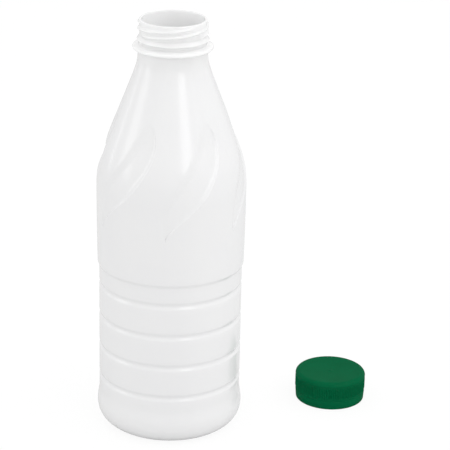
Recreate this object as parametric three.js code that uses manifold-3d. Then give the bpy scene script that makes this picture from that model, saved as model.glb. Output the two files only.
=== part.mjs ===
// A blow-moulded milk bottle with leaf-shaped hollows round its shoulder, and its screw cap beside it.
import * as THREE from 'three';
import { mergeVertices } from 'three/addons/utils/BufferGeometryUtils.js';
import Module from 'manifold-3d';

const wasm = await Module();
wasm.setup();
const { degToRad, radToDeg, lerp, smoothstep, clamp } = THREE.MathUtils;

// Bottle body: millimetres, heights measured up from the standing face
const HEIGHT = 234;
const BODY_RADIUS = 41;
const BODY_WIDEST_HEIGHT = 136;
const COLUMNS = 48;

// Base: a shallow dome inside a flat standing ring, then a round heel
const DOME_RISE = 5;
const STAND_INNER_RADIUS = 26;
const STAND_OUTER_RADIUS = 29.1;
const HEEL_RADIUS = 11.5;
const HEEL_STEPS = 5;
const INNER_HEEL_FROM = -75;
const INNER_HEEL_STEPS = 3;
const DOME_STEPS = 2;
const BUMPER_RADIUS = STAND_OUTER_RADIUS + HEEL_RADIUS;
const BASE_WALL = 0.9;

// Label panel: set in a little between the bumper and the upper body, with ring grooves
const PANEL_RADIUS = 39.6;
const BUMPER_TOP = 12.5;
const BUMPER_ROWS = 3;
const PANEL_BOTTOM = 21.5;
const PANEL_TOP = 94;
const STEP_TOP = 100;
const STEP_RADIUS = 40.5;
const GROOVE_COUNT = 4;
const GROOVE_FIRST_HEIGHT = 29.4;
const GROOVE_SPACING = 18.27;
const GROOVE_DEPTH = 0.8;
const GROOVE_WIDTH = 4.8;
const GROOVE_OUTER_ROWS = 4;
const GROOVE_INNER_ROWS = 3;

// Shoulder: an arc that turns the wall into a straight cone up to the neck
const CONE_ANGLE = degToRad(21.4);
const CONE_CORNER_HEIGHT = 153.3;
const SHOULDER_ARC = 65;
const ARC_REACH = SHOULDER_ARC * Math.tan(CONE_ANGLE / 2);
const ARC_START = CONE_CORNER_HEIGHT - ARC_REACH;
const ARC_END = CONE_CORNER_HEIGHT + ARC_REACH * Math.cos(CONE_ANGLE);

// Leaf hollows: wide in the middle, blunt at the top, drawn out to a leaning tail
const LEAF_COUNT = 6;
const LEAF_TAIL_HEIGHT = 122;
const LEAF_TOP_HEIGHT = 183;
const LEAF_TAIL_ANGLE = -5;
const LEAF_LEAN = 41.5;
const LEAF_HALF_WIDTH = 16.5;
const LEAF_DEPTH = 1.15;
const LEAF_TAIL_DEPTH = 0.35;
const LEAF_ROW_STEP = 5;

// Shares of a leaf's length from tail to top, and of its half width from the middle out
const LEAF_WIDEST = 0.42;
const LEAN_FROM = -0.05;
const LEAN_TO = 0.96;
const DEEPENS_FROM = 0.15;
const DEEPENS_TO = 0.55;
const FADES_FROM = 0.78;
const FADES_TO = 1.06;
const UPPER_SLOPE_FOOT = -0.3;
const LOWER_WALL_FOOT = 0.75;

// Wall: thin where it is blown, thick in the moulded neck
const BODY_WALL = 0.4;
const NECK_RADIUS = 18.6;
const BORE_RADIUS = 17;
const WALL_THICKENS_FROM = 186;
const NECK_BOTTOM = CONE_CORNER_HEIGHT + (BODY_RADIUS - NECK_RADIUS) / Math.tan(CONE_ANGLE);

// Neck finish: carrying ring, locking bead, lip and a thread of three starts
const RING_RADIUS = 21.7;
const RING_BOTTOM = 217.9;
const RING_TOP = 220;
const RING_EDGE = 0.5;
const ROOT_RADIUS = 18.15;
const BEAD_RADIUS = 19.4;
const BEAD_BOTTOM = 222.5;
const BEAD_CREST = 223.1;
const BEAD_TOP = 225;
const LIP_ROUND = 0.3;
const THREAD_STARTS = 3;
const THREAD_LEAD = 9.9;
const THREAD_TURN = degToRad(240);
const THREAD_BOTTOM = 226.1;
const THREAD_FIRST_ANGLE = degToRad(-72.25);
const THREAD_CREST = 0.95;
const THREAD_ROOT_DEPTH = 0.25;
const THREAD_SINK = 0.45;
const THREAD_HALF_WIDTH = 1.2;
const THREAD_CREST_HALF_WIDTH = 0.35;
const THREAD_STEPS = 16;
const THREAD_RUN_OUT = 0.12;

// Cap: a knurled skirt over a plain tamper band, open below
const CAP_HEIGHT = 16.5;
const CAP_RADIUS = 20.3;
const CAP_EDGE_ROUND = 2.4;
const CAP_EDGE_STEPS = 4;
const CAP_DISH = 0.7;
const CAP_DISH_STEPS = 4;
const CAP_TOP_WALL = 2;
const CAP_INNER_RADIUS = 19.2;
const CAP_CEILING_ROUND = 0.9;
const CAP_COLUMNS = 40;
const BAND_HEIGHT = 4.8;
const BAND_RADIUS = 20.1;
const BAND_FOOT_RADIUS = 19.75;
const BAND_WALL = 0.7;
const SCORE_WIDTH = 0.4;
const SCORE_DEPTH = 0.4;
const RIB_COUNT = 120;
const RIB_HEIGHT = 0.25;
const RIB_SEAT = 0.1;
const RIB_BOTTOM = 5.6;
const RIB_TOP = 13.8;
const RIB_RING_INNER_RADIUS = 19.6;
const GATE_RADIUS = 0.7;
const GATE_HEIGHT = 0.25;

// Where the cap's axis stands, measured from the bottle's axis
const CAP_OFFSET_X = 94;
const CAP_OFFSET_Y = 28.3;

// How far the wall has drawn in from the body's radius at a height on the shoulder
function shoulderDraw(height) {
  if (height <= ARC_START) {
    return 0;
  }
  if (height < ARC_END) {
    return SHOULDER_ARC - Math.sqrt(SHOULDER_ARC ** 2 - (height - ARC_START) ** 2);
  }
  return (height - CONE_CORNER_HEIGHT) * Math.tan(CONE_ANGLE);
}

// Depth of the ring grooves at a height on the label panel
function grooveDepth(height) {
  const index = clamp(Math.round((height - GROOVE_FIRST_HEIGHT) / GROOVE_SPACING), 0, GROOVE_COUNT - 1);
  const offset = height - GROOVE_FIRST_HEIGHT - index * GROOVE_SPACING;
  if (Math.abs(offset) > GROOVE_WIDTH / 2) {
    return 0;
  }
  return GROOVE_DEPTH * Math.cos(Math.PI * offset / GROOVE_WIDTH) ** 2;
}

// Outer radius of the blown wall between the heel and the neck
function wallRadius(height) {
  const foot = (BUMPER_RADIUS - PANEL_RADIUS) * (1 - smoothstep(height, BUMPER_TOP, PANEL_BOTTOM));
  const step = (STEP_RADIUS - PANEL_RADIUS) * smoothstep(height, PANEL_TOP, STEP_TOP);
  const rise = clamp((height - STEP_TOP) / (BODY_WIDEST_HEIGHT - STEP_TOP), 0, 1);
  const swell = (BODY_RADIUS - STEP_RADIUS) * Math.sin(rise * Math.PI / 2);
  const radius = PANEL_RADIUS + foot + step + swell - grooveDepth(height) - shoulderDraw(height);
  return Math.max(radius, NECK_RADIUS);
}

// Wall thickness between the heel and the neck
function wallThickness(height) {
  return lerp(BODY_WALL, NECK_RADIUS - BORE_RADIUS, smoothstep(height, WALL_THICKENS_FROM, NECK_BOTTOM));
}

// Angle of a leaf's centre line, in degrees, at a fraction of its length above the tail
function leafCentre(along) {
  return LEAF_TAIL_ANGLE + LEAF_LEAN * smoothstep(along, LEAN_FROM, LEAN_TO);
}

// Half the width of a leaf, in degrees: a drawn-out tail below, a half ellipse above
function leafHalfWidth(along) {
  if (along < LEAF_WIDEST) {
    return LEAF_HALF_WIDTH * smoothstep(along, 0, LEAF_WIDEST);
  }
  const reach = (along - LEAF_WIDEST) / (1 - LEAF_WIDEST);
  return LEAF_HALF_WIDTH * Math.sqrt(Math.max(0, 1 - reach ** 2));
}

// Depth of the leaf hollows: a soft slope on the upper side and a short wall on the lower side
function leafDepth(angle, height) {
  const along = (height - LEAF_TAIL_HEIGHT) / (LEAF_TOP_HEIGHT - LEAF_TAIL_HEIGHT);
  if (along <= 0 || along >= 1) {
    return 0;
  }
  const pitch = 360 / LEAF_COUNT;
  const turn = radToDeg(angle) - leafCentre(along);
  const offset = turn - pitch * Math.round(turn / pitch);
  const halfWidth = leafHalfWidth(along);
  if (Math.abs(offset) >= halfWidth) {
    return 0;
  }
  const across = offset / halfWidth;
  const section = smoothstep(across, -1, UPPER_SLOPE_FOOT) * (1 - smoothstep(across, LOWER_WALL_FOOT, 1));
  const floor = lerp(LEAF_TAIL_DEPTH, LEAF_DEPTH, smoothstep(along, DEEPENS_FROM, DEEPENS_TO));
  return floor * section * (1 - smoothstep(along, FADES_FROM, FADES_TO));
}

// Heights where the wall has a row of corners, from the heel up to the neck
function wallHeights(grooveRows) {
  const heights = [];
  for (let row = 1; row <= BUMPER_ROWS; row += 1) {
    heights.push(lerp(BUMPER_TOP, PANEL_BOTTOM, row / BUMPER_ROWS));
  }
  for (let groove = 0; groove < GROOVE_COUNT; groove += 1) {
    const middle = GROOVE_FIRST_HEIGHT + groove * GROOVE_SPACING;
    for (let row = 0; row < grooveRows; row += 1) {
      heights.push(middle + GROOVE_WIDTH * (row / (grooveRows - 1) - 0.5));
    }
  }
  heights.push(PANEL_TOP, (PANEL_TOP + STEP_TOP) / 2, STEP_TOP, (STEP_TOP + LEAF_TAIL_HEIGHT) / 2);
  for (let height = LEAF_TAIL_HEIGHT; height < LEAF_TOP_HEIGHT + LEAF_ROW_STEP; height += LEAF_ROW_STEP) {
    heights.push(height);
  }
  heights.push((LEAF_TOP_HEIGHT + NECK_BOTTOM) / 2, NECK_BOTTOM);
  return heights;
}

// A run of points along a circular arc, from one angle to another in degrees
function arcPoints(centre, arcRadius, from, to, steps) {
  const points = [];
  for (let step = 0; step <= steps; step += 1) {
    const angle = degToRad(lerp(from, to, step / steps));
    const spoke = new THREE.Vector2(Math.cos(angle), Math.sin(angle));
    points.push(spoke.multiplyScalar(arcRadius).add(centre));
  }
  return points;
}

// The dome under the base, from the axis out to the standing ring
function domePoints(lift) {
  const domeRadius = (STAND_INNER_RADIUS ** 2 + DOME_RISE ** 2) / (2 * DOME_RISE);
  const spread = radToDeg(Math.asin(STAND_INNER_RADIUS / domeRadius));
  const centre = new THREE.Vector2(0, DOME_RISE - domeRadius + lift);
  const points = arcPoints(centre, domeRadius, 90, 90 - spread, DOME_STEPS);
  points[0].x = 0;
  return points;
}

// Outside of the neck finish, from under the carrying ring up to the lip
function finishPoints() {
  return [
    [NECK_RADIUS, RING_BOTTOM],
    [RING_RADIUS - RING_EDGE, RING_BOTTOM],
    [RING_RADIUS, RING_BOTTOM + RING_EDGE],
    [RING_RADIUS, RING_TOP - 2 * RING_EDGE],
    [RING_RADIUS - RING_EDGE, RING_TOP - RING_EDGE],
    [ROOT_RADIUS, RING_TOP],
    [ROOT_RADIUS, BEAD_BOTTOM],
    [BEAD_RADIUS, BEAD_CREST],
    [ROOT_RADIUS, BEAD_TOP],
    [ROOT_RADIUS, HEIGHT - LIP_ROUND],
    [ROOT_RADIUS - LIP_ROUND, HEIGHT],
    [BORE_RADIUS + LIP_ROUND, HEIGHT],
    [BORE_RADIUS, HEIGHT - LIP_ROUND],
  ].map(([radius, height]) => new THREE.Vector2(radius, height));
}

// Half section of the bottle: out from the axis, up the outside, over the lip and down the inside
function bottleSection() {
  const outside = wallHeights(GROOVE_OUTER_ROWS).map((height) => {
    return new THREE.Vector2(wallRadius(height), height);
  });
  const inside = wallHeights(GROOVE_INNER_ROWS).map((height) => {
    return new THREE.Vector2(wallRadius(height) - wallThickness(height), height);
  });
  const heelCentre = new THREE.Vector2(STAND_OUTER_RADIUS, HEEL_RADIUS);
  const heel = arcPoints(heelCentre, HEEL_RADIUS, -90, 0, HEEL_STEPS);
  const innerHeel = arcPoints(heelCentre, HEEL_RADIUS - BODY_WALL, INNER_HEEL_FROM, 0, INNER_HEEL_STEPS);
  const floor = domePoints(BASE_WALL);
  return [
    ...domePoints(0),
    ...heel,
    ...outside,
    ...finishPoints(),
    ...inside.reverse(),
    ...innerHeel.reverse(),
    ...floor.reverse(),
  ];
}

// A turned shape standing on +Z, its first column facing -Y
function turned(section, columns) {
  return new THREE.LatheGeometry(section, columns).rotateX(Math.PI / 2);
}

// Press the leaf hollows into both faces of the wall, with the columns leaning along the leaves
function pressLeaves(geometry) {
  const position = geometry.attributes.position;
  for (let i = 0; i < position.count; i += 1) {
    const height = position.getZ(i);
    const radius = Math.hypot(position.getX(i), position.getY(i));
    const along = clamp((height - LEAF_TAIL_HEIGHT) / (LEAF_TOP_HEIGHT - LEAF_TAIL_HEIGHT), 0, 1);
    const angle = Math.atan2(position.getX(i), -position.getY(i)) + degToRad(leafCentre(along));
    const pressed = radius - leafDepth(angle, height);
    position.setXY(i, pressed * Math.sin(angle), -pressed * Math.cos(angle));
  }
  return geometry;
}

// A rising turn round the neck that sinks into the wall at both ends
class ThreadPath extends THREE.Curve {
  constructor(firstAngle) {
    super();
    this.firstAngle = firstAngle;
  }

  getPoint(along, target = new THREE.Vector3()) {
    const angle = this.firstAngle + along * THREAD_TURN;
    const fade = smoothstep(Math.min(along, 1 - along), 0, THREAD_RUN_OUT);
    const radius = ROOT_RADIUS - (1 - fade) * THREAD_SINK;
    const height = THREAD_BOTTOM + along * THREAD_LEAD * THREAD_TURN / (2 * Math.PI);
    return target.set(radius * Math.sin(angle), -radius * Math.cos(angle), height);
  }

  getPointAt(along, target) {
    return this.getPoint(along, target);
  }

  // Frames that keep the ridge's section square to the bottle's axis
  computeFrenetFrames(segments) {
    const frames = { tangents: [], normals: [], binormals: [] };
    for (let i = 0; i <= segments; i += 1) {
      const angle = this.firstAngle + (i / segments) * THREAD_TURN;
      frames.tangents.push(new THREE.Vector3(Math.cos(angle), Math.sin(angle), 0));
      frames.normals.push(new THREE.Vector3(Math.sin(angle), -Math.cos(angle), 0));
      frames.binormals.push(new THREE.Vector3(0, 0, -1));
    }
    return frames;
  }
}

// One ridge of the thread: a low trapezium swept along its path
function threadRidge(firstAngle) {
  const section = new THREE.Shape([
    new THREE.Vector2(-THREAD_ROOT_DEPTH, -THREAD_HALF_WIDTH),
    new THREE.Vector2(THREAD_CREST, -THREAD_CREST_HALF_WIDTH),
    new THREE.Vector2(THREAD_CREST, THREAD_CREST_HALF_WIDTH),
    new THREE.Vector2(-THREAD_ROOT_DEPTH, THREAD_HALF_WIDTH),
  ]);
  const extrudePath = new ThreadPath(firstAngle);
  return new THREE.ExtrudeGeometry(section, { extrudePath, steps: THREAD_STEPS });
}

// The cap's shallow dish, from the inner end of its rounded edge towards the middle
function capDish(rim) {
  const points = [];
  for (let i = 1; i < CAP_DISH_STEPS; i += 1) {
    const radius = rim * (1 - i / CAP_DISH_STEPS);
    const depth = CAP_DISH * (1 - (radius / rim) ** 2);
    points.push(new THREE.Vector2(radius, CAP_HEIGHT - depth));
  }
  return points;
}

// Half section of the cap: along its ceiling, down the inside, up the outside and over the top
function capSection() {
  const skirtRadius = CAP_RADIUS - RIB_HEIGHT - RIB_SEAT;
  const ceiling = CAP_HEIGHT - CAP_TOP_WALL;
  const scoreTop = BAND_HEIGHT + SCORE_WIDTH;
  const edgeCentre = new THREE.Vector2(CAP_RADIUS - CAP_EDGE_ROUND, CAP_HEIGHT - CAP_EDGE_ROUND);
  const lower = [
    [0, ceiling],
    [CAP_INNER_RADIUS - CAP_CEILING_ROUND, ceiling],
    [CAP_INNER_RADIUS, ceiling - CAP_CEILING_ROUND],
    [CAP_INNER_RADIUS, BAND_HEIGHT],
    [BAND_FOOT_RADIUS - BAND_WALL, 0],
    [BAND_FOOT_RADIUS, 0],
    [BAND_RADIUS, BAND_HEIGHT - SCORE_DEPTH / 2],
    [BAND_RADIUS - SCORE_DEPTH, BAND_HEIGHT],
    [BAND_RADIUS - SCORE_DEPTH, scoreTop],
    [skirtRadius, scoreTop + SCORE_DEPTH / 2],
    [skirtRadius, RIB_TOP + RIB_SEAT],
  ].map(([radius, height]) => new THREE.Vector2(radius, height));
  const edge = arcPoints(edgeCentre, CAP_EDGE_ROUND, 0, 90, CAP_EDGE_STEPS);
  const upper = [
    [GATE_RADIUS, CAP_HEIGHT - CAP_DISH],
    [GATE_RADIUS / 2, CAP_HEIGHT - CAP_DISH + GATE_HEIGHT],
    [0, CAP_HEIGHT - CAP_DISH + GATE_HEIGHT],
  ].map(([radius, height]) => new THREE.Vector2(radius, height));
  return [...lower, ...edge, ...capDish(edgeCentre.x), ...upper];
}

// The ribbed ring round the cap's skirt
function ribRing() {
  const outline = new THREE.Shape();
  const corners = 2 * RIB_COUNT;
  for (let i = 0; i < corners; i += 1) {
    const angle = 2 * Math.PI * i / corners;
    const radius = CAP_RADIUS - (i % 2) * RIB_HEIGHT;
    const draw = i === 0 ? 'moveTo' : 'lineTo';
    outline[draw](radius * Math.cos(angle), radius * Math.sin(angle));
  }
  outline.holes.push(new THREE.Path().absarc(0, 0, RIB_RING_INNER_RADIUS, 0, 2 * Math.PI, true));
  const ring = new THREE.ExtrudeGeometry(outline, {
    depth: RIB_TOP - RIB_BOTTOM,
    bevelEnabled: false,
    curveSegments: CAP_COLUMNS / 2,
  });
  return ring.translate(0, 0, RIB_BOTTOM);
}

// A closed geometry as a solid that can be joined to others
function solidOf(geometry) {
  const bare = geometry.clone();
  bare.deleteAttribute('normal');
  bare.deleteAttribute('uv');
  const merged = mergeVertices(bare);
  const corners = merged.index.array;
  const kept = [];
  for (let i = 0; i < corners.length; i += 3) {
    const [a, b, c] = corners.slice(i, i + 3);
    if (a !== b && b !== c && c !== a) {
      kept.push(a, b, c);
    }
  }
  const vertProperties = new Float32Array(merged.attributes.position.array);
  const triVerts = new Uint32Array(kept);
  return new wasm.Manifold(new wasm.Mesh({ numProp: 3, vertProperties, triVerts }));
}

// Several overlapping geometries joined into one
function joined(geometries) {
  const mesh = geometries.map(solidOf).reduce((whole, piece) => whole.add(piece)).getMesh();
  const geometry = new THREE.BufferGeometry();
  geometry.setAttribute('position', new THREE.BufferAttribute(mesh.vertProperties, 3));
  geometry.setIndex(new THREE.BufferAttribute(mesh.triVerts, 1));
  geometry.computeVertexNormals();
  return geometry;
}

function makeBottle() {
  const pieces = [pressLeaves(turned(bottleSection(), COLUMNS))];
  for (let start = 0; start < THREAD_STARTS; start += 1) {
    pieces.push(threadRidge(THREAD_FIRST_ANGLE + start * 2 * Math.PI / THREAD_STARTS));
  }
  const whitePet = new THREE.MeshStandardMaterial({ color: 0xf1f2f3, roughness: 0.22, metalness: 0 });
  const bottle = new THREE.Mesh(joined(pieces), whitePet);
  bottle.name = 'bottle';
  return bottle;
}

function makeCap() {
  const shape = joined([turned(capSection(), CAP_COLUMNS), ribRing()]);
  const greenPlastic = new THREE.MeshStandardMaterial({ color: 0x01603c, roughness: 0.42, metalness: 0 });
  const cap = new THREE.Mesh(shape, greenPlastic);
  cap.name = 'cap';
  cap.position.set(CAP_OFFSET_X, CAP_OFFSET_Y, 0);
  return cap;
}

// The origin stands at the middle of the floor that bottle and cap cover together
const milkBottle = new THREE.Group();
milkBottle.add(makeBottle(), makeCap());
milkBottle.position.x = (BODY_RADIUS - CAP_OFFSET_X - CAP_RADIUS) / 2;
milkBottle.position.y = (BODY_RADIUS - CAP_OFFSET_Y - CAP_RADIUS) / 2;

export default milkBottle;
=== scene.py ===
import math

import bpy
import numpy as np
from mathutils import Matrix, Vector


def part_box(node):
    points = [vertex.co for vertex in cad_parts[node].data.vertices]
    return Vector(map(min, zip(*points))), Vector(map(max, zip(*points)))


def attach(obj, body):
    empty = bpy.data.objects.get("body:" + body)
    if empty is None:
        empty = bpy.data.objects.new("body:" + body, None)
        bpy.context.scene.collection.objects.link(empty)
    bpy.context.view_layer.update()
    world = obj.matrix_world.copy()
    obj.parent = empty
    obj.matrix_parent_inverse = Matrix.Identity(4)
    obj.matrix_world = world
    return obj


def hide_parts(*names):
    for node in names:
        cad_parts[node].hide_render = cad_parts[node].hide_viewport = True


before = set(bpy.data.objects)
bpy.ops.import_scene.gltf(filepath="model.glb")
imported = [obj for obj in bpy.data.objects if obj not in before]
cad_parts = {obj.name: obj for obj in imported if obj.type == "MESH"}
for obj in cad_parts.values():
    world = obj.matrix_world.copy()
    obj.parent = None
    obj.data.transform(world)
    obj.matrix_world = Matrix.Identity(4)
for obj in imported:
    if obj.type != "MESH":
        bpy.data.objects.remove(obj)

bl_info = {
    "name": "Milk Bottle",
    "version": (1, 0, 0),
    "blender": (4, 5, 0),
    "location": "3D View > Sidebar > Milk Bottle",
    "description": "Models a blow-moulded milk bottle and its screw cap on a pale studio floor",
    "category": "Add Mesh",
}

MM = 0.001
MERGE_DISTANCE = 0.002 * MM
LEAST_WEIGHT = 0.0005
SMOOTH_ANGLE = math.radians(40)

# Shares of a leaf's sector and the columns in each: closest on both sides of the leaf's wall
LEAF_SWEEPS = ((0.03, 4), (0.87, 26), (0.1, 13))
CAP_SECTORS = 12
COLUMNS_A_RIB = 6

# The solids' own box, and the places of the bottle and of its cap
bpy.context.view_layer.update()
BOTTLE_LOW, BOTTLE_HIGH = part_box("bottle")
CAP_LOW, CAP_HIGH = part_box("cap")
BOTTLE_AXIS = (BOTTLE_LOW + BOTTLE_HIGH) / 2
CAP_AXIS = (CAP_LOW + CAP_HIGH) / 2


# Kinds of setting

def linear(code):
    """An sRGB hex colour as linear red, green and blue."""
    shares = np.array([int(code[place:place + 2], 16) for place in (0, 2, 4)]) / 255
    straight = np.where(shares <= 0.04045, shares / 12.92, ((shares + 0.055) / 1.055) ** 2.4)
    return tuple(straight.tolist())


def length(name, millimetres, description):
    """A length that a user may change, given in millimetres and kept in metres."""
    return bpy.props.FloatProperty(
        name=name, description=description, default=millimetres * MM, unit="LENGTH", precision=5)


def angle(name, degrees, description):
    """An angle that a user may change, given in degrees and kept in radians."""
    return bpy.props.FloatProperty(
        name=name, description=description, default=math.radians(degrees), subtype="ANGLE")


def share(name, part, description):
    """A share from 0 to 1, or a little past it, that a user may change."""
    return bpy.props.FloatProperty(
        name=name, description=description, default=part, soft_min=0, soft_max=1, subtype="FACTOR")


def number(name, many, description):
    """A count that a user may change."""
    return bpy.props.IntProperty(name=name, description=description, default=many, min=1)


def strength(name, amount, description):
    """The strength of a light or of a pattern, which a user may change."""
    return bpy.props.FloatProperty(name=name, description=description, default=amount, min=0)


def colour(name, code, description):
    """A colour that a user may change, given as sRGB hex."""
    return bpy.props.FloatVectorProperty(
        name=name, description=description, default=linear(code), size=3, min=0, max=1, subtype="COLOR")


# Sizes and finishes

class BodySizes(bpy.types.PropertyGroup):
    """The bottle from its base to the cone."""
    radius: length("Radius", 41, "Widest radius, just under the shoulder")
    widest_height: length("Widest Height", 136, "Height of the widest place")
    wall: length("Wall", 0.4, "Thickness of the blown wall")
    dome_rise: length("Dome Rise", 5, "Rise of the base's dome at the axis")
    base_wall: length("Base Wall", 0.9, "Thickness of the base")
    stand_inner: length("Ring Inside", 26, "Inner radius of the flat standing ring")
    stand_outer: length("Ring Outside", 29.1, "Outer radius of the flat standing ring")
    heel_round: length("Heel Round", 11.5, "Rounding from the standing ring to the side")
    bumper_radius: length("Bumper Radius", 40.6, "Radius of the thicker foot")
    bumper_top: length("Bumper Top", 12.5, "Height where the foot begins to draw in")
    panel_radius: length("Panel Radius", 39.6, "Radius of the label panel between its grooves")
    panel_bottom: length("Panel Bottom", 21.5, "Height where the panel begins")
    panel_top: length("Panel Top", 94.5, "Height where the panel ends")
    step_radius: length("Step Radius", 40.5, "Radius just above the panel")
    step_top: length("Step Top", 97.1, "Height where the step above the panel ends")
    groove_count: number("Grooves", 4, "Ring grooves round the panel")
    groove_first: length("First Groove", 29.4, "Height of the lowest groove")
    groove_spacing: length("Groove Spacing", 18.27, "Height from one groove to the next")
    groove_depth: length("Groove Depth", 0.8, "Depth of a groove")
    groove_width: length("Groove Width", 4.8, "Height of a groove from edge to edge")
    cone_angle: angle("Cone Angle", 21.4, "Slope of the cone against the axis")
    cone_corner: length("Cone Corner", 153.3, "Height where the lines of side and cone meet")
    shoulder_arc: length("Shoulder Arc", 65, "Rounding between side and cone")


class LeafSizes(bpy.types.PropertyGroup):
    """The leaf-shaped hollows that lean round the shoulder."""
    count: number("Leaves", 6, "Hollows round the bottle")
    tail_height: length("Tail Height", 122, "Height of a leaf's tail")
    top_height: length("Top Height", 183, "Height of a leaf's top")
    tail_angle: angle("Tail Angle", -5, "Place of the first leaf's tail round the bottle")
    lean: angle("Lean", 41.5, "How far round a leaf leans from tail to top")
    half_width: angle("Half Width", 16.5, "Half the width of a leaf at its widest")
    widest: share("Widest At", 0.42, "Where along its length a leaf is widest")
    depth: length("Depth", 1.35, "Depth in the middle of a leaf")
    tail_depth: length("Tail Depth", 0.6, "Depth at the tail")
    tail_fullness: share("Tail Fullness", 0.75, "Below 1 the leaf widens sooner above its tail")
    lean_from: share("Lean From", -0.05, "Where along its length a leaf begins to lean")
    lean_to: share("Lean To", 0.96, "Where along its length a leaf is upright again")
    deepens_from: share("Deepens From", 0.15, "Where along its length a leaf begins to deepen")
    deepens_to: share("Deepens To", 0.55, "Where along its length a leaf has its full depth")
    fades_from: share("Fades From", 0.78, "Where along its length a leaf begins to fade")
    fades_to: share("Fades To", 1.06, "Where along its length a leaf would be flush with the wall")
    slope_head: share("Slope Head", -0.95, "Where the upper slope begins, across the leaf from -1 to 1")
    slope_foot: share("Slope Foot", -0.4, "Where the upper slope ends, across the leaf")
    wall_foot: share("Wall Foot", 0.68, "Where the crisp lower wall begins, across the leaf")


class NeckSizes(bpy.types.PropertyGroup):
    """The neck and its screw finish."""
    radius: length("Neck Radius", 18.6, "Radius of the neck under the ring")
    fillet: length("Neck Fillet", 1.6, "Softness of the corner between cone and neck")
    bore: length("Bore", 17, "Radius of the mouth")
    thickens_from: length("Thickens From", 186, "Height where the wall begins to thicken")
    thick_at: length("Thick At", 210.5, "Height where the wall has its full neck thickness")
    ring_radius: length("Ring Radius", 21.7, "Radius of the carrying ring")
    ring_bottom: length("Ring Bottom", 217.9, "Height of the ring's underside")
    ring_edge: length("Ring Edge", 0.75, "Rounding of the ring's rim")
    ring_rim: length("Ring Rim", 219.0, "Height where the rim's upper rounding begins")
    ring_fillet: length("Ring Fillet", 0.8, "Rounding where the ring meets the neck")
    ring_slope: angle("Ring Slope", 10, "Slope of the ring's top")
    root: length("Thread Root", 18.15, "Radius of the wall between the threads")
    bead_radius: length("Bead Radius", 19.4, "Radius of the bead that locks the tamper band")
    bead_bottom: length("Bead Bottom", 222.5, "Height of the bead's underside at the root")
    bead_crest: length("Bead Crest", 223.15, "Height of the bead's crest")
    bead_top: length("Bead Top", 225, "Height where the bead's slope ends")
    bead_round: length("Bead Round", 0.3, "Rounding of the bead's crest")
    lip_round: length("Lip Round", 0.4, "Rounding of the lip")
    thread_starts: number("Thread Starts", 3, "Threads that begin side by side")
    thread_lead: length("Thread Lead", 9.9, "Climb of a thread in a full turn")
    thread_turn: angle("Thread Turn", 240, "How far round each thread runs")
    thread_bottom: length("Thread Bottom", 226.1, "Height where a thread begins")
    thread_first: angle("First Thread", -72.25, "Place where the first thread begins")
    thread_height: length("Thread Height", 0.95, "How far a thread stands out from the root")
    thread_crest: length("Thread Crest", 0.25, "Half the width of a thread's crest")
    thread_upper: length("Upper Flank", 0.95, "Width of a thread's upper flank")
    thread_lower: length("Lower Flank", 0.75, "Width of a thread's lower flank")
    thread_fade: share("Thread Fade", 0.12, "Part of a thread's run over which its ends fade")


class CapSizes(bpy.types.PropertyGroup):
    """The screw cap."""
    radius: length("Cap Radius", 20.3, "Radius over the ribs")
    height: length("Cap Height", 16.5, "Height without the gate mark")
    edge_round: length("Edge Round", 2.4, "Rounding of the top edge")
    dish: length("Dish", 0.7, "How far the middle of the top lies below its edge")
    top_wall: length("Top Wall", 2, "Thickness of the top at its edge")
    inner_radius: length("Inner Radius", 19.2, "Radius of the inside")
    ceiling_round: length("Ceiling Round", 0.9, "Rounding inside, under the top")
    band_height: length("Band Height", 4.8, "Height of the tamper band")
    band_radius: length("Band Radius", 20.1, "Radius of the tamper band at its top")
    band_foot: length("Band Foot", 19.75, "Radius of the tamper band at its foot")
    band_wall: length("Band Wall", 0.7, "Thickness of the tamper band")
    score_width: length("Score Width", 0.4, "Height of the score line above the band")
    score_depth: length("Score Depth", 0.25, "Depth of the score line")
    ribs: number("Ribs", 120, "Fine upright ribs round the skirt")
    rib_height: length("Rib Height", 0.4, "How far a rib stands out")
    rib_bottom: length("Rib Bottom", 5.6, "Height where the ribs begin")
    rib_top: length("Rib Top", 13.8, "Height where the ribs end")
    rib_fade: length("Rib Fade", 1.2, "Height over which a rib's ends fade")
    gate_radius: length("Gate Radius", 0.7, "Radius of the gate mark on the top")
    gate_height: length("Gate Height", 0.25, "Height of the gate mark")


class Finishes(bpy.types.PropertyGroup):
    """Colours of the two plastics and of the floor."""
    pet: colour("White PET", "F0F0F0", "Main colour of the bottle")
    pet_thin: colour("Thin White PET", "EDEDEE", "Colour where the blown wall is a little thinner")
    # Painted light: a lighter white for the neck, ring and mouth, standing in for light that comes through
    # the thick wall
    pet_neck_painted_light: colour("Neck White PET With Painted Light", "F9F9F9", "Colour of the thick neck, painted lighter for light through its wall")
    cap: colour("Green Polyethylene", "00623D", "Main colour of the cap")
    cap_flow: colour("Green Flow", "005A36", "Colour of the faint flow marks in the cap")
    floor: colour("Floor", "E4E4E4", "Colour of the floor as the light finds it")
    floor_shade: colour("Floor Shade", "5C5C5C", "Part of the floor's tone that takes shadows")


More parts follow.
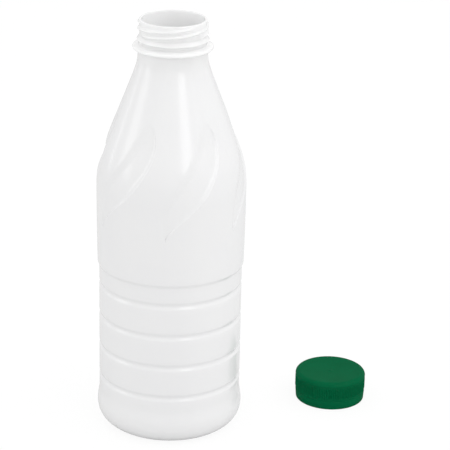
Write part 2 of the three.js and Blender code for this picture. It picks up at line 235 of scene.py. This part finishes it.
class StageSettings(bpy.types.PropertyGroup):
    """Camera, lights and floor."""
    lens: length("Lens", 158.37, "Focal length of the camera")
    sensor: length("Sensor", 36, "Width of the camera's sensor")
    camera_back: length("Camera Distance", 1021.5, "From the bottle's axis forward to the camera")
    camera_height: length("Camera Height", 506.1, "Height of the camera above the floor")
    camera_pitch: angle("Camera Pitch", 20.85, "How far the camera looks down")
    camera_yaw: angle("Camera Yaw", 1.67, "How far the camera looks to the right")
    camera_roll: angle("Camera Roll", 1.2, "How far the camera is turned about its own line of sight")
    floor_radius: length("Floor Radius", 4000, "Radius of the floor")
    floor_glow: strength("Floor Lift", 0.9, "How much brighter the camera sees the floor")
    air: strength("Air", 0.87, "Even light from all round the studio")
    left_light: strength("Left Light", 2.0, "Power of the softbox on the left, in watts")
    left_strip: strength("Left Strip", 0.4, "Power of the strip light behind on the left, in watts")
    right_light: strength("Right Light", 2.0, "Power of the softbox in front on the right, in watts")
    right_strip: strength("Right Strip", 0.15, "Power of the strip light on the right, in watts")
    side_light: strength("Side Light", 4.2, "Power of the large softbox high on the right, in watts")
    top_light: strength("Top Light", 1.3, "Power of the softbox overhead, in watts")


class MilkBottleSettings(bpy.types.PropertyGroup):
    """All sizes and finishes of the bottle, its cap and the stage."""
    body: bpy.props.PointerProperty(type=BodySizes, name="Body")
    leaf: bpy.props.PointerProperty(type=LeafSizes, name="Leaves")
    neck: bpy.props.PointerProperty(type=NeckSizes, name="Neck")
    cap: bpy.props.PointerProperty(type=CapSizes, name="Cap")
    finish: bpy.props.PointerProperty(type=Finishes, name="Finishes")
    stage: bpy.props.PointerProperty(type=StageSettings, name="Stage")


def settings():
    """The settings that the sidebar shows."""
    return bpy.context.scene.milk_bottle


# Modelling by hand

def smoothstep(value, low, high):
    """0 below low, 1 above high and a smooth rise between them."""
    part = np.clip((value - low) / (high - low), 0, 1)
    return part * part * (3 - 2 * part)


def arc(centre, radius, start, end, steps):
    """Section points (radius, height) on an arc, from one angle to another in degrees."""
    turns = np.radians(np.linspace(start, end, steps + 1))
    return np.column_stack([centre[0] + radius * np.cos(turns), centre[1] + radius * np.sin(turns)])


def spaced_heights(low, zones):
    """Heights upwards from low; each zone is its top and the largest gap between its rows."""
    heights = []
    for high, gap in zones:
        rows = math.ceil((high - low) / gap)
        heights.extend(np.linspace(low, high, rows, endpoint=False))
        low = high
    return np.array([*heights, low])


def deselect():
    """Leaves edit mode and nothing selected."""
    if bpy.context.object and bpy.context.object.mode != "OBJECT":
        bpy.ops.object.mode_set(mode="OBJECT")
    bpy.ops.object.select_all(action="DESELECT")


def turn_section(name, section, bearing, axis, sectors, sweeps):
    """Draws a half section point by point and turns it round an upright axis into a closed piece.

    Each point is a radius and a height, and bearing says how far round the axis it is drawn,
    so that the columns of faces can lean. One sector is spun, and the others are copies of it.
    Each sweep is a share of the sector and its columns, so that some columns can be closer.
    """
    spots = np.column_stack([
        axis.x + section[:, 0] * np.sin(bearing),
        axis.y - section[:, 0] * np.cos(bearing),
        section[:, 1],
    ])
    deselect()
    bpy.ops.mesh.primitive_plane_add(size=MM)
    piece = bpy.context.object
    piece.name = piece.data.name = name
    bpy.ops.object.mode_set(mode="EDIT")
    bpy.ops.mesh.merge(type="CENTER")
    bpy.ops.transform.translate(value=spots[0])
    for step in np.diff(spots, axis=0):
        bpy.ops.mesh.extrude_vertices_move(TRANSFORM_OT_translate={"value": step})
    bpy.ops.mesh.select_all(action="SELECT")
    turn = 2 * math.pi / sectors
    foot = (axis.x, axis.y, 0)
    for part, columns in sweeps:
        bpy.ops.mesh.spin(steps=columns, angle=turn * part, center=foot, axis=(0, 0, 1))
    bpy.ops.mesh.select_all(action="SELECT")
    for _ in range(sectors - 1):
        bpy.ops.mesh.duplicate()
        bpy.ops.transform.rotate(value=turn, orient_axis="Z", center_override=foot)
    bpy.ops.mesh.select_all(action="SELECT")
    bpy.ops.mesh.remove_doubles(threshold=MERGE_DISTANCE)
    bpy.ops.mesh.normals_make_consistent(inside=False)
    bpy.ops.mesh.select_all(action="DESELECT")
    bpy.ops.mesh.select_non_manifold()
    bpy.ops.object.mode_set(mode="OBJECT")
    if any(vertex.select for vertex in piece.data.vertices):
        raise RuntimeError(f"{name} isn't one closed surface")
    return piece


def places_round(piece, axis):
    """Each vertex's radius, bearing and height about an upright axis; bearing 0 faces the camera."""
    spots = np.empty(3 * len(piece.data.vertices))
    piece.data.vertices.foreach_get("co", spots)
    x, y, height = spots.reshape(-1, 3).T
    return np.hypot(x - axis.x, y - axis.y), np.arctan2(x - axis.x, axis.y - y), height


def press(piece, name, weights, distance):
    """Moves a weighted area of a piece along its normals, and outwards if distance is positive."""
    group = piece.vertex_groups.new(name=name)
    for index in np.flatnonzero(weights > LEAST_WEIGHT).tolist():
        group.add([index], float(weights[index]), "REPLACE")
    bpy.ops.object.modifier_add(type="DISPLACE")
    modifier = piece.modifiers[-1]
    modifier.vertex_group = name
    modifier.mid_level = 0
    modifier.strength = distance
    bpy.ops.object.modifier_apply(modifier=modifier.name)
    piece.vertex_groups.clear()


def finish_piece(piece, node, material):
    """Smooths a piece, gives it its material and lets it stand for its solid."""
    bpy.ops.object.shade_smooth_by_angle(angle=SMOOTH_ANGLE)
    piece.data.materials.append(material)
    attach(piece, "root")
    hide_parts(node)


# Form of the bottle

def groove_draw(height):
    """How far the ring grooves draw the wall in at a height."""
    body = settings().body
    draw = np.zeros_like(height)
    for ring in range(body.groove_count):
        away = (height - body.groove_first - ring * body.groove_spacing) / body.groove_width
        draw = draw + body.groove_depth * np.cos(np.pi * np.clip(away, -0.5, 0.5)) ** 2
    return draw


def shoulder_draw(height):
    """How far the shoulder's arc and the cone draw the wall in at a height."""
    body = settings().body
    tangent = body.shoulder_arc * math.tan(body.cone_angle / 2)
    arc_low = body.cone_corner - tangent
    arc_high = body.cone_corner + tangent * math.cos(body.cone_angle)
    climb = np.clip(height, arc_low, arc_high) - arc_low
    rounded = body.shoulder_arc - np.sqrt(body.shoulder_arc ** 2 - climb ** 2)
    return np.where(height > arc_high, (height - body.cone_corner) * math.tan(body.cone_angle), rounded)


def wall_radius(height):
    """Outer radius of the blown wall at a height, without the leaves."""
    body, neck = settings().body, settings().neck
    bumper = (body.bumper_radius - body.panel_radius)
    step = (body.step_radius - body.panel_radius)
    rise = np.clip((height - body.step_top) / (body.widest_height - body.step_top), 0, 1)
    radius = (
        body.panel_radius
        + bumper * (1 - smoothstep(height, body.bumper_top, body.panel_bottom))
        + step * smoothstep(height, body.panel_top, body.step_top)
        + (body.radius - body.step_radius) * np.sin(rise * math.pi / 2)
        - groove_draw(height)
        - shoulder_draw(height)
    )
    return (radius + neck.radius + np.hypot(radius - neck.radius, neck.fillet)) / 2


def wall_thickness(height):
    """Thickness of the wall at a height: thin where it is blown, thick in the neck."""
    body, neck = settings().body, settings().neck
    thicker = smoothstep(height, neck.thickens_from, neck.thick_at)
    return body.wall + (neck.radius - neck.bore - body.wall) * thicker


def wall_heights(top, spread):
    """Heights of the rows up the wall, close together where it bends; spread sets them further apart."""
    body, leaf, neck = settings().body, settings().leaf, settings().neck
    zones = [(body.bumper_top, 0.5), (body.panel_bottom, 1)]
    for ring in range(body.groove_count):
        middle = body.groove_first + ring * body.groove_spacing
        zones.append((middle - body.groove_width / 2, 3))
        zones.append((middle + body.groove_width / 2, 0.4))
    zones += [
        (body.panel_top, 3),
        (body.step_top, 0.3),
        (leaf.tail_height, 3),
        (leaf.top_height, 0.9),
        (neck.thick_at - 3 * MM, 3),
        (top, 0.8),
    ]
    return spaced_heights(body.heel_round, [(high, gap * MM * spread) for high, gap in zones])


def dome_section(lift):
    """Section of the base's dome from the axis out to the standing ring, raised by lift."""
    body = settings().body
    sphere = (body.stand_inner ** 2 + body.dome_rise ** 2) / (2 * body.dome_rise)
    out = np.linspace(0, body.stand_inner, 12)
    drop = sphere - np.sqrt(sphere ** 2 - out ** 2)
    return np.column_stack([out, body.dome_rise - drop + lift])


def ring_section():
    """Section of the carrying ring, from the neck out round its rim and back to the thread root."""
    neck = settings().neck
    fillet = neck.ring_fillet
    slope = math.degrees(neck.ring_slope)
    rim = neck.ring_radius - neck.ring_edge
    upper = arc((rim, neck.ring_rim), neck.ring_edge, 0, 90 - slope, 5)
    foot_radius = neck.root + fillet * (1 - math.sin(neck.ring_slope))
    foot_height = upper[-1, 1] + (upper[-1, 0] - foot_radius) * math.tan(neck.ring_slope)
    foot_centre = (neck.root + fillet, foot_height + fillet * math.cos(neck.ring_slope))
    return np.concatenate([
        arc((neck.radius + fillet, neck.ring_bottom - fillet), fillet, 180, 90, 4),
        arc((rim, neck.ring_bottom + neck.ring_edge), neck.ring_edge, -90, 0, 5),
        upper,
        arc(foot_centre, fillet, 270 - slope, 180, 5),
    ])


def bead_section():
    """Section of the locking bead: a steep underside, a rounded crest and a long slope above it."""
    neck = settings().neck
    ease = 0.1 * MM
    out = neck.bead_radius - neck.root
    under = math.degrees(math.atan2(-out, neck.bead_crest - neck.bead_bottom))
    over = math.degrees(math.atan2(out, neck.bead_top - neck.bead_crest))
    crest_centre = (neck.bead_radius - neck.bead_round, neck.bead_crest)
    crest = arc(crest_centre, neck.bead_round, under, over, 6)
    return np.concatenate([
        [(neck.root, neck.bead_bottom - 3 * ease), (neck.root + ease, neck.bead_bottom)],
        crest,
        [(neck.root + 1.2 * ease, neck.bead_top - ease)],
    ])


def mouth_section():
    """Section of the wall that carries the threads, over the lip and into the bore."""
    neck = settings().neck
    lip = BOTTLE_HIGH.z - neck.lip_round
    row_gap = 0.2 * MM
    heights = spaced_heights(neck.bead_top + row_gap, [(lip, row_gap)])
    return np.concatenate([
        np.column_stack([np.full_like(heights, neck.root), heights])[:-1],
        arc((neck.root - neck.lip_round, lip), neck.lip_round, 0, 90, 5),
        arc((neck.bore + neck.lip_round, lip), neck.lip_round, 90, 180, 5),
    ])


def bottle_section():
    """Half section of the bottle: base, side, neck, lip, and down the inside to the base again."""
    body, neck = settings().body, settings().neck
    heel = (body.stand_outer, body.heel_round)
    outside = wall_heights(neck.ring_bottom - neck.ring_fillet, 1)
    inside = wall_heights(neck.ring_bottom, 4)[::-1]
    return np.concatenate([
        dome_section(0),
        arc(heel, body.heel_round, -90, 0, 16)[:-1],
        np.column_stack([wall_radius(outside), outside])[:-1],
        ring_section(),
        bead_section(),
        mouth_section(),
        np.column_stack([wall_radius(inside) - wall_thickness(inside), inside]),
        arc(heel, body.heel_round - body.wall, 0, -70, 6)[1:],
        dome_section(body.base_wall)[::-1],
    ])


def along_leaf(height):
    """How far along a leaf a height is: 0 at its tail and 1 at its top."""
    leaf = settings().leaf
    return (height - leaf.tail_height) / (leaf.top_height - leaf.tail_height)


def leaf_bearing(height):
    """Bearing of the middle of the first leaf at a height."""
    leaf = settings().leaf
    return leaf.tail_angle + leaf.lean * smoothstep(along_leaf(height), leaf.lean_from, leaf.lean_to)


def leaf_width(height):
    """Half the angle that a leaf covers at a height: none at its tail, and narrowing to its top."""
    leaf = settings().leaf
    along = along_leaf(height)
    below = smoothstep(along, 0, leaf.widest) ** leaf.tail_fullness
    above = np.sqrt(1 - np.clip((along - leaf.widest) / (1 - leaf.widest), 0, 1) ** 2)
    return leaf.half_width * np.where(along < leaf.widest, below, above)


def leaf_wall_bearing(height):
    """Bearing of the crisp wall of the first leaf, carried on below its tail and past its top."""
    leaf = settings().leaf
    above_tail = 2 * MM
    below_top = 4 * MM
    held = np.clip(height, leaf.tail_height + above_tail, leaf.top_height - below_top)
    return leaf_bearing(held) + leaf_width(held)


def leaf_depth(bearing, height):
    """Depth of the leaves at each place: a soft slope above, a crisp wall below, faded at the top."""
    leaf = settings().leaf
    along = along_leaf(height)
    apart = 2 * math.pi / leaf.count
    least_width = 0.01 * leaf.half_width
    off_middle = (bearing - leaf_bearing(height) + apart / 2) % apart - apart / 2
    across = off_middle / np.maximum(leaf_width(height), least_width)
    deepening = smoothstep(along, leaf.deepens_from, leaf.deepens_to)
    depth = leaf.tail_depth + (leaf.depth - leaf.tail_depth) * deepening
    slope = smoothstep(across, leaf.slope_head, leaf.slope_foot)
    wall = 1 - smoothstep(across, leaf.wall_foot, 1)
    fade = 1 - smoothstep(along, leaf.fades_from, leaf.fades_to)
    return depth * slope * wall * fade * (along > 0) * (along < 1)


def thread_rise(bearing, height):
    """Height of the threads at each place, as a share of their full height."""
    neck = settings().neck
    rise = np.zeros_like(height)
    for start in range(neck.thread_starts):
        begin = neck.thread_first + start * 2 * math.pi / neck.thread_starts
        run = (bearing - begin) % (2 * math.pi)
        part = run / neck.thread_turn
        off_crest = height - neck.thread_bottom - neck.thread_lead * run / (2 * math.pi)
        flank = np.where(off_crest > 0, neck.thread_upper, neck.thread_lower)
        down = np.clip((np.abs(off_crest) - neck.thread_crest) / flank, 0, 1)
        ends = smoothstep(part, 0, neck.thread_fade) * (1 - smoothstep(part, 1 - neck.thread_fade, 1))
        rise = np.maximum(rise, ends * (0.5 + 0.5 * np.cos(np.pi * down)))
    return rise


class MILKBOTTLE_OT_bottle(bpy.types.Operator):
    """Model the bottle: spin its section, press in the leaves and raise the threads"""
    bl_idname = "milk_bottle.bottle"
    bl_label = "Bottle"

    def execute(self, context):
        leaf, neck = settings().leaf, settings().neck
        section = bottle_section()
        piece = turn_section(
            "blown_bottle", section, leaf_wall_bearing(section[:, 1]), BOTTLE_AXIS,
            sectors=leaf.count, sweeps=LEAF_SWEEPS)
        radius, bearing, height = places_round(piece, BOTTLE_AXIS)
        outside = radius > wall_radius(height) - wall_thickness(height) / 2
        pressed = leaf_depth(bearing, height) / leaf.depth
        near = 0.05 * MM
        on_root = (np.abs(radius - neck.root) < near) & (height > neck.bead_top)
        threads = thread_rise(bearing, height) * on_root
        press(piece, "leaves_outside", pressed * outside, -leaf.depth)
        press(piece, "leaves_inside", pressed * ~outside, leaf.depth)
        press(piece, "threads", threads, neck.thread_height)
        finish_piece(piece, "bottle", stretch_blown_white_pet())
        return {"FINISHED"}


# Form of the cap

def cap_section():
    """Half section of the cap: gate mark, top, skirt, score line, tamper band and the hollow inside."""
    cap = settings().cap
    top = cap.height - cap.dish
    ceiling = cap.height - cap.top_wall
    skirt = cap.radius - cap.rib_height
    score = cap.band_radius - cap.score_depth
    score_top = cap.band_height + cap.score_width
    edge = (cap.radius - cap.edge_round, cap.height - cap.edge_round)
    dish = np.linspace(cap.gate_radius, edge[0], 14, endpoint=False)
    ease = 0.1 * MM
    foot_round = 0.3 * MM
    foot = (cap.band_foot - foot_round, foot_round)
    band_inner = cap.band_foot - cap.band_wall
    ceiling_corner = (cap.inner_radius - cap.ceiling_round, ceiling - cap.ceiling_round)
    row_gap = 0.4 * MM
    ribs = spaced_heights(cap.rib_bottom, [(cap.rib_top, row_gap)])[::-1]
    return np.concatenate([
        [(0, top + cap.gate_height), (cap.gate_radius * 0.5, top + cap.gate_height * 0.85)],
        np.column_stack([dish, cap.height - cap.dish * (1 - (dish / edge[0]) ** 2)]),
        arc(edge, cap.edge_round, 90, 0, 12),
        [(cap.radius - 0.3 * ease, cap.rib_top + 1.5 * ease)],
        np.column_stack([np.full_like(ribs, skirt), ribs]),
        [(skirt + ease / 2, cap.rib_bottom - 1.5 * ease), (skirt, score_top + ease)],
        [(score + ease / 2, score_top), (score, score_top - ease)],
        [(score, cap.band_height + ease / 2), (score + ease, cap.band_height)],
        [(cap.band_radius - 0.8 * ease, cap.band_height - ease)],
        [(cap.band_radius, cap.band_height - 3 * ease), (cap.band_foot + ease / 5, 4 * ease)],
        arc(foot, foot_round, 0, -90, 4),
        [(band_inner + ease, 0), (band_inner, ease)],
        [(cap.inner_radius, cap.band_height), (cap.inner_radius, (cap.band_height + ceiling) / 2)],
        arc(ceiling_corner, cap.ceiling_round, 0, 90, 4),
        [(cap.inner_radius * 0.5, ceiling), (0, ceiling)],
    ])


class MILKBOTTLE_OT_cap(bpy.types.Operator):
    """Model the screw cap: spin its section and raise the ribs of its skirt"""
    bl_idname = "milk_bottle.cap"
    bl_label = "Cap"

    def execute(self, context):
        cap = settings().cap
        section = cap_section()
        sector_columns = cap.ribs * COLUMNS_A_RIB // CAP_SECTORS
        piece = turn_section(
            "screw_cap", section, np.zeros(len(section)), CAP_AXIS,
            sectors=CAP_SECTORS, sweeps=((1, sector_columns),))
        radius, bearing, height = places_round(piece, CAP_AXIS)
        near = 0.02 * MM
        on_skirt = np.abs(radius - cap.radius + cap.rib_height) < near
        ends = smoothstep(height, cap.rib_bottom, cap.rib_bottom + cap.rib_fade)
        ends = ends * (1 - smoothstep(height, cap.rib_top - cap.rib_fade, cap.rib_top))
        ribs = (0.5 + 0.5 * np.cos(bearing * cap.ribs)) * ends * on_skirt
        press(piece, "ribs", ribs, cap.rib_height)
        finish_piece(piece, "cap", moulded_green_polyethylene())
        return {"FINISHED"}


# Materials

def add_node(tree, kind, inputs=(), **options):
    """Adds a node with its options; an input is given a value, or the output that feeds it."""
    node = tree.nodes.new(kind)
    for key, value in options.items():
        setattr(node, key, value)
    for key, value in dict(inputs).items():
        if isinstance(value, bpy.types.NodeSocket):
            tree.links.new(value, node.inputs[key])
        else:
            node.inputs[key].default_value = value
    return node


def new_material(name):
    """An empty material with its tree and an object-space place to read patterns from."""
    material = bpy.data.materials.new(name)
    material.use_nodes = True
    tree = material.node_tree
    tree.nodes.clear()
    place = add_node(tree, "ShaderNodeTexCoord").outputs["Object"]
    return material, tree, place


def opaque(rgb):
    """A colour with full opacity."""
    return (*rgb, 1)


def stretch_blown_white_pet():
    """White PET, stretched and blown against a polished mould.

    Glossy and opaque. The eye sees a clean white with sharp reflections, very slightly rippled
    where the wall stretched unevenly, and a little cooler where it is thin. The thick neck was
    never stretched, so it lets some light in; it is also painted a lighter white as painted light,
    standing in for the light that comes through its wall into the mouth.
    """
    finish = settings().finish
    material, tree, place = new_material("stretch_blown_white_pet")
    uneven = add_node(tree, "ShaderNodeTexNoise", {
        "Vector": place, "Scale": 1 / (26 * MM), "Detail": 2.0, "Roughness": 0.4}).outputs["Fac"]
    blown = add_node(tree, "ShaderNodeMixRGB", {
        "Fac": uneven, "Color1": opaque(finish.pet), "Color2": opaque(finish.pet_thin)}).outputs["Color"]
    height = add_node(tree, "ShaderNodeSeparateXYZ", {"Vector": place}).outputs["Z"]
    # Painted light: this neck mask paints the neck, ring and mouth a lighter white for light that comes
    # through the wall into the bore; it also gives the neck real translucency by subsurface scattering
    neck_painted_light_and_translucency = add_node(tree, "ShaderNodeMapRange", {
        "Value": height, "From Min": 200 * MM, "From Max": 222 * MM,
    }, interpolation_type="SMOOTHSTEP").outputs["Result"]
    tone = add_node(tree, "ShaderNodeMixRGB", {
        "Fac": neck_painted_light_and_translucency, "Color1": blown, "Color2": opaque(finish.pet_neck_painted_light)}).outputs["Color"]
    drawn = add_node(tree, "ShaderNodeMapping", {"Vector": place, "Scale": (1, 1, 0.2)}).outputs["Vector"]
    streaks = add_node(tree, "ShaderNodeTexNoise", {
        "Vector": drawn, "Scale": 1 / (5 * MM), "Detail": 3.0}).outputs["Fac"]
    gloss = add_node(tree, "ShaderNodeMapRange", {
        "Value": streaks, "To Min": 0.16, "To Max": 0.23}).outputs["Result"]
    ripple = add_node(tree, "ShaderNodeTexNoise", {
        "Vector": drawn, "Scale": 1 / (9 * MM), "Detail": 1.0}).outputs["Fac"]
    skin = add_node(tree, "ShaderNodeBump", {
        "Height": ripple, "Strength": 1.0, "Distance": 0.02 * MM}).outputs["Normal"]
    shader = add_node(tree, "ShaderNodeBsdfPrincipled", {
        "Base Color": tone, "Roughness": gloss, "IOR": 1.57, "Normal": skin,
        "Subsurface Weight": neck_painted_light_and_translucency, "Subsurface Radius": (1, 1, 1), "Subsurface Scale": 4 * MM})
    add_node(tree, "ShaderNodeOutputMaterial", {"Surface": shader.outputs["BSDF"]})
    return material


def moulded_green_polyethylene():
    """Green polyethylene, injection moulded in a finely eroded mould.

    Satin and dyed right through: a deep colour with hardly any mirror, a fine grain, and faint
    darker flow marks. A thin coat stands for the little gloss that its edges show.
    """
    finish = settings().finish
    material, tree, place = new_material("injection_moulded_green_polyethylene")
    flow = add_node(tree, "ShaderNodeTexNoise", {
        "Vector": place, "Scale": 1 / (9 * MM), "Detail": 2.0}).outputs["Fac"]
    tone = add_node(tree, "ShaderNodeMixRGB", {
        "Fac": flow, "Color1": opaque(finish.cap), "Color2": opaque(finish.cap_flow)}).outputs["Color"]
    # The eroded grit is about 0.1 mm; it is drawn three times as coarse so that it shows
    grit = add_node(tree, "ShaderNodeTexNoise", {
        "Vector": place, "Scale": 1 / (0.3 * MM), "Detail": 2.0}).outputs["Fac"]
    skin = add_node(tree, "ShaderNodeBump", {
        "Height": grit, "Strength": 1.0, "Distance": 0.006 * MM}).outputs["Normal"]
    gloss = add_node(tree, "ShaderNodeMapRange", {
        "Value": flow, "To Min": 0.36, "To Max": 0.46}).outputs["Result"]
    shader = add_node(tree, "ShaderNodeBsdfPrincipled", {
        "Base Color": tone, "Roughness": gloss, "IOR": 1.52, "Specular IOR Level": 0.0, "Normal": skin,
        "Coat Weight": 0.08, "Coat Roughness": 0.22, "Coat IOR": 1.52, "Coat Normal": skin})
    add_node(tree, "ShaderNodeOutputMaterial", {"Surface": shader.outputs["BSDF"]})
    return material


def matte_pale_sheet():
    """A matte pale sheet that shows white, with hardly a shadow.

    The camera sees it brighter than the light that it throws back at what stands on it.
    """
    finish, stage = settings().finish, settings().stage
    material, tree, place = new_material("matte_pale_sheet")
    fibre = add_node(tree, "ShaderNodeTexNoise", {
        "Vector": place, "Scale": 1 / (2 * MM), "Detail": 2.0}).outputs["Fac"]
    gloss = add_node(tree, "ShaderNodeMapRange", {
        "Value": fibre, "To Min": 0.8, "To Max": 0.95}).outputs["Result"]
    seen = add_node(tree, "ShaderNodeLightPath").outputs["Is Camera Ray"]
    lift = add_node(tree, "ShaderNodeMath", {0: seen, 1: stage.floor_glow}, operation="MULTIPLY").outputs[0]
    tone = add_node(tree, "ShaderNodeMixRGB", {
        "Fac": seen, "Color1": opaque(finish.floor), "Color2": opaque(finish.floor_shade)}).outputs["Color"]
    shader = add_node(tree, "ShaderNodeBsdfPrincipled", {
        "Base Color": tone, "Roughness": gloss, "Specular IOR Level": 0.0,
        "Emission Color": (1, 1, 1, 1), "Emission Strength": lift})
    add_node(tree, "ShaderNodeOutputMaterial", {"Surface": shader.outputs["BSDF"]})
    return material


# Stage

def lay_floor():
    """A round sheet with a turned-down edge, just under what stands on it."""
    stage = settings().stage
    clearance = 0.05 * MM
    edge_width = 20 * MM
    edge_drop = 3 * MM
    deselect()
    bpy.ops.mesh.primitive_circle_add(
        vertices=128, radius=stage.floor_radius, fill_type="NGON", location=(0, 0, 0))
    floor = bpy.context.object
    floor.name = floor.data.name = "studio_floor"
    bpy.ops.object.mode_set(mode="EDIT")
    bpy.ops.transform.translate(value=(0, 0, -clearance))
    bpy.ops.mesh.inset(thickness=edge_width)
    bpy.ops.mesh.select_all(action="INVERT")
    bpy.ops.mesh.extrude_region_move(TRANSFORM_OT_translate={"value": (0, 0, -edge_drop)})
    bpy.ops.mesh.select_all(action="SELECT")
    bpy.ops.mesh.normals_make_consistent(inside=False)
    bpy.ops.object.mode_set(mode="OBJECT")
    floor.data.materials.append(matte_pale_sheet())


def aim(rig, target):
    """Turns a light so that it shines at a place."""
    rig.rotation_euler = (target - rig.location).to_track_quat("-Z", "Y").to_euler()


def hang_softbox(name, bearing, rise, distance, size, power):
    """A softbox at a bearing round the bottle and an angle above the floor, in degrees, aimed at it."""
    round_axis, up = math.radians(bearing), math.radians(rise)
    middle = Vector((BOTTLE_AXIS.x, BOTTLE_AXIS.y, BOTTLE_AXIS.z))
    out = Vector((math.sin(round_axis) * math.cos(up), -math.cos(round_axis) * math.cos(up), math.sin(up)))
    bpy.ops.object.light_add(type="AREA", location=middle + out * distance)
    rig = bpy.context.object
    rig.name = rig.data.name = name
    rig.data.shape = "RECTANGLE"
    rig.data.size, rig.data.size_y = size
    rig.data.energy = power
    aim(rig, middle)


def set_camera():
    """The camera at the height, place and angle of the view that is matched."""
    stage = settings().stage
    bpy.ops.object.camera_add()
    rig = bpy.context.object
    rig.name = rig.data.name = "camera"
    rig.data.sensor_width = stage.sensor / MM
    rig.data.lens = stage.lens / MM
    turned = (
        Matrix.Rotation(-stage.camera_yaw, 4, "Z")
        @ Matrix.Rotation(math.pi / 2 - stage.camera_pitch, 4, "X")
        @ Matrix.Rotation(stage.camera_roll, 4, "Z")
    )
    stand = Vector((BOTTLE_AXIS.x, BOTTLE_AXIS.y - stage.camera_back, stage.camera_height))
    rig.matrix_world = Matrix.Translation(stand) @ turned
    bpy.context.scene.camera = rig


class MILKBOTTLE_OT_stage(bpy.types.Operator):
    """Set the camera, the lights and the floor"""
    bl_idname = "milk_bottle.stage"
    bl_label = "Stage"

    def execute(self, context):
        stage = settings().stage
        deselect()
        set_camera()
        hang_softbox(
            "left_softbox", bearing=-81, rise=18, distance=1.5, size=(0.55, 0.9), power=stage.left_light)
        hang_softbox(
            "left_strip", bearing=-113, rise=8, distance=1.5, size=(0.06, 0.7), power=stage.left_strip)
        hang_softbox(
            "right_softbox", bearing=27, rise=26, distance=1.5, size=(0.48, 0.7), power=stage.right_light)
        hang_softbox(
            "right_strip", bearing=55, rise=20, distance=1.5, size=(0.06, 0.7), power=stage.right_strip)
        hang_softbox(
            "side_softbox", bearing=80, rise=45, distance=1.8, size=(1.2, 1.2), power=stage.side_light)
        hang_softbox(
            "top_softbox", bearing=10, rise=70, distance=1.8, size=(1.6, 1.0), power=stage.top_light)
        lay_floor()
        scene = context.scene
        scene.world = bpy.data.worlds.new("studio_air")
        scene.world.use_nodes = True
        air = scene.world.node_tree.nodes["Background"].inputs
        air["Color"].default_value = (1, 1, 1, 1)
        air["Strength"].default_value = stage.air
        scene.view_settings.view_transform = "Standard"
        return {"FINISHED"}


class MILKBOTTLE_PT_sidebar(bpy.types.Panel):
    """Lists the pieces and their settings"""
    bl_idname = "MILKBOTTLE_PT_sidebar"
    bl_label = "Milk Bottle"
    bl_space_type = "VIEW_3D"
    bl_region_type = "UI"
    bl_category = "Milk Bottle"

    def draw(self, context):
        for operator in OPERATORS:
            self.layout.operator(operator.bl_idname)
        for group_name in MilkBottleSettings.__annotations__:
            group = getattr(settings(), group_name)
            box = self.layout.box()
            box.label(text=group_name.title())
            for setting in type(group).__annotations__:
                box.prop(group, setting)


OPERATORS = (MILKBOTTLE_OT_bottle, MILKBOTTLE_OT_cap, MILKBOTTLE_OT_stage)
CLASSES = (
    BodySizes, LeafSizes, NeckSizes, CapSizes, Finishes, StageSettings, MilkBottleSettings,
    *OPERATORS, MILKBOTTLE_PT_sidebar,
)


def register():
    for each in CLASSES:
        bpy.utils.register_class(each)
    bpy.types.Scene.milk_bottle = bpy.props.PointerProperty(type=MilkBottleSettings)


def unregister():
    del bpy.types.Scene.milk_bottle
    for each in reversed(CLASSES):
        bpy.utils.unregister_class(each)


def main():
    """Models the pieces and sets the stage."""
    register()
    bpy.ops.milk_bottle.bottle()
    bpy.ops.milk_bottle.cap()
    bpy.ops.milk_bottle.stage()


if __name__ == "__main__":
    main()
